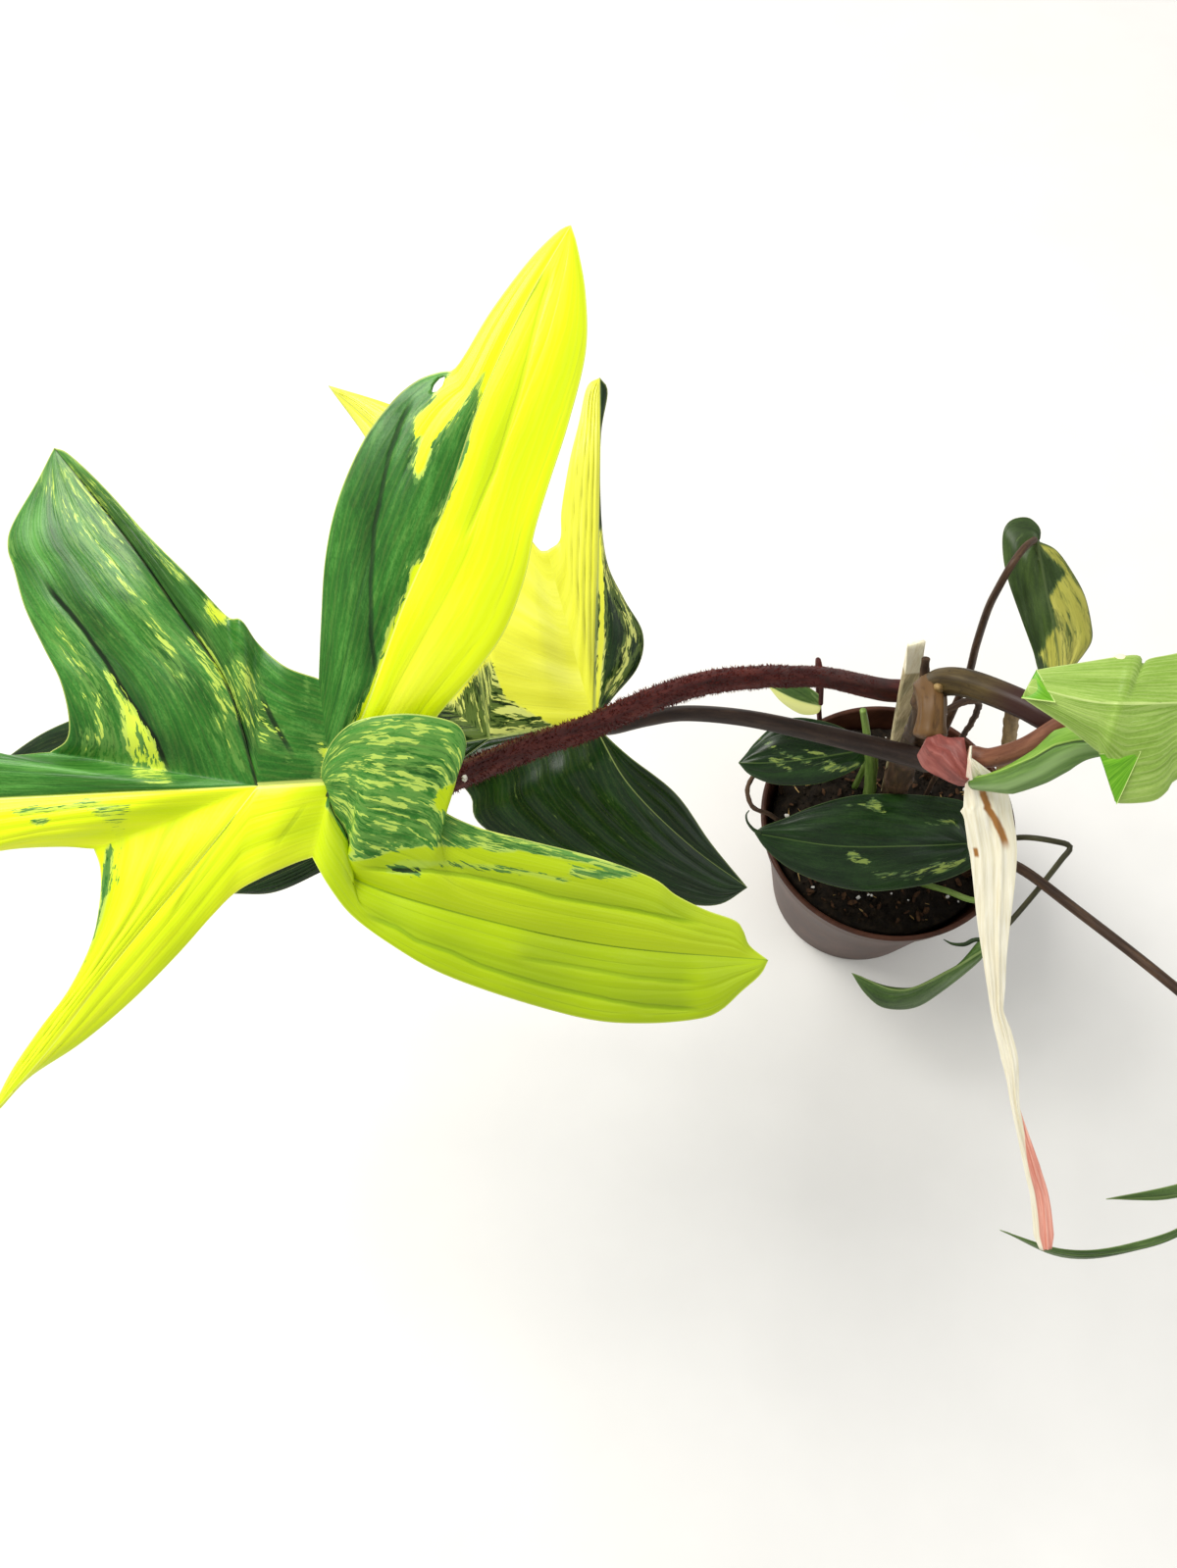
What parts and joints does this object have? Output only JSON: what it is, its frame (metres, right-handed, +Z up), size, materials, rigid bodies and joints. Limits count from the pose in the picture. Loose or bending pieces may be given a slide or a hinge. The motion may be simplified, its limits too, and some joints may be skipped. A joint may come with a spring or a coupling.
{
  "type": "potted climbing philodendron",
  "caption": "Variegated lobed-leaf climbing philodendron on a split-wood stake in a small round nursery pot, with long arching petioles, a pale hanging sheath and a newly opened leaf.",
  "frame": {"origin": "centre of the pot's flat base, where it stands on the floor", "axes": "+Z up; +X towards the newly opened leaf, along the longest spread of the leaves; +Y to the back, away from the viewer who sees the large front leaf on the left"},
  "size_m": [0.6996, 0.2864, 0.4386],
  "materials": {
    "pot": "satin",
    "soil": "matt, loose",
    "stake": "raw split wood",
    "stem": "satin",
    "petiole": "matt, rough with short scales",
    "young_petiole": "satin",
    "green_petiole": "satin",
    "yellow_leaf": "waxy gloss",
    "green_leaf": "waxy gloss",
    "new_leaf": "satin",
    "sheath": "satin",
    "pale_sheath": "papery",
    "green_sheath": "satin",
    "root": "matt"
  },
  "bodies": {
    "root": {"pot": "pot", "soil": "soil", "stake": "stake", "stem": "stem", "blade_front": "yellow_leaf", "petiole_front": "petiole", "blade_rear": "green_leaf", "petiole_rear": "petiole", "blade_right": "green_leaf", "petiole_right": "petiole", "blade_new": "new_leaf", "petiole_new": "young_petiole", "blade_low": "green_leaf", "petiole_low": "petiole", "blade_upright": "green_leaf", "petiole_upright": "petiole", "blade_pot": "green_leaf", "petiole_pot": "green_petiole", "blade_back": "green_leaf", "petiole_back": "green_petiole", "blade_small": "yellow_leaf", "petiole_small": "petiole", "blade_knee": "green_leaf", "petiole_knee": "petiole", "sheath_base": "sheath", "sheath_pale": "pale_sheath", "sheath_green": "green_sheath", "green_shoot": "green_petiole", "node_stub": "root", "root_rim": "root", "root_tan": "stem", "root_dark": "root"}
  },
  "joints": []
}
